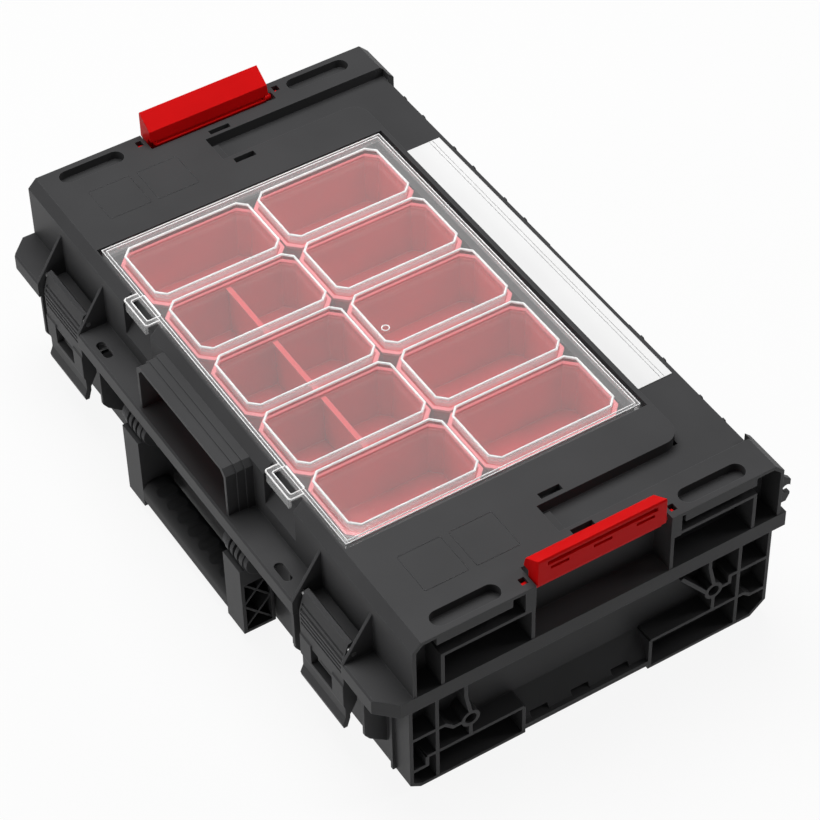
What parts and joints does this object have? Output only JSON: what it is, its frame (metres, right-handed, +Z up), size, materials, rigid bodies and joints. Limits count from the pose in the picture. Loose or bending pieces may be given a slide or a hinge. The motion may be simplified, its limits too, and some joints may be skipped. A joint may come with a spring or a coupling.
{
  "type": "tool box",
  "caption": "Stackable moulded tool box with a hinged organiser lid: clear cover over red bins, front latches, drop handle and red end clips.",
  "frame": {"origin": "on the floor under the base, midway along the length and midway between the front and rear walls of the lid's top", "axes": "+X along the length, +Z up, -Y to the front with the handle"},
  "size_m": [0.585, 0.365, 0.1975],
  "materials": {
    "black_polypropylene": "fine textured",
    "soft_grip": "soft matte",
    "red_bin": "satin",
    "red_lever": "satin",
    "clear_polycarbonate": "polished",
    "white_sheet": "plain",
    "steel_pin": "drawn"
  },
  "bodies": {
    "base": {"base_tub": "black_polypropylene", "lid_hinge_pins": "steel_pin", "handle_pins": "steel_pin"},
    "lid": {"lid_shell": "black_polypropylene", "label_strip": "white_sheet", "latch_pins": "steel_pin", "bin_front_1": "red_bin", "bin_front_2": "red_bin", "bin_front_3": "red_bin", "bin_front_4": "red_bin", "bin_front_5": "red_bin", "bin_rear_1": "red_bin", "bin_rear_2": "red_bin", "bin_rear_3": "red_bin", "bin_rear_4": "red_bin", "bin_rear_5": "red_bin", "divider_2": "red_bin", "divider_3": "red_bin", "divider_4": "red_bin"},
    "cover": {"organizer_cover": "clear_polycarbonate"},
    "latch_left": {"latch_left": "black_polypropylene"},
    "latch_right": {"latch_right": "black_polypropylene"},
    "handle": {"handle_frame": "black_polypropylene", "handle_grip": "soft_grip"},
    "clip_left": {"clip_left": "red_lever"},
    "clip_right": {"clip_right": "red_lever"}
  },
  "joints": [
    {"name": "lid_hinge", "type": "hinge", "parent": "base", "child": "lid", "pos_m": [0, 0.1725, 0.102], "axis": [-1, 0, 0], "range_deg": [0, 100]},
    {"name": "cover_hinge", "type": "hinge", "parent": "lid", "child": "cover", "pos_m": [0, 0.1075, 0.1704], "axis": [-1, 0, 0], "range_deg": [0, 100]},
    {"name": "latch_left_pivot", "type": "hinge", "parent": "lid", "child": "latch_left", "pos_m": [-0.202, -0.174, 0.123], "axis": [-1, 0, 0], "range_deg": [0, 100]},
    {"name": "latch_right_pivot", "type": "hinge", "parent": "lid", "child": "latch_right", "pos_m": [0.202, -0.174, 0.123], "axis": [-1, 0, 0], "range_deg": [0, 100]},
    {"name": "handle_pivot", "type": "hinge", "parent": "base", "child": "handle", "pos_m": [0, -0.172, 0.087], "axis": [-1, 0, 0], "range_deg": [0, 85]},
    {"name": "clip_left_pivot", "type": "hinge", "parent": "lid", "child": "clip_left", "pos_m": [-0.283, 0, 0.167], "axis": [0, -1, 0], "range_deg": [0, 170]},
    {"name": "clip_right_pivot", "type": "hinge", "parent": "lid", "child": "clip_right", "pos_m": [0.283, 0, 0.167], "axis": [0, 1, 0], "range_deg": [0, 170]}
  ]
}
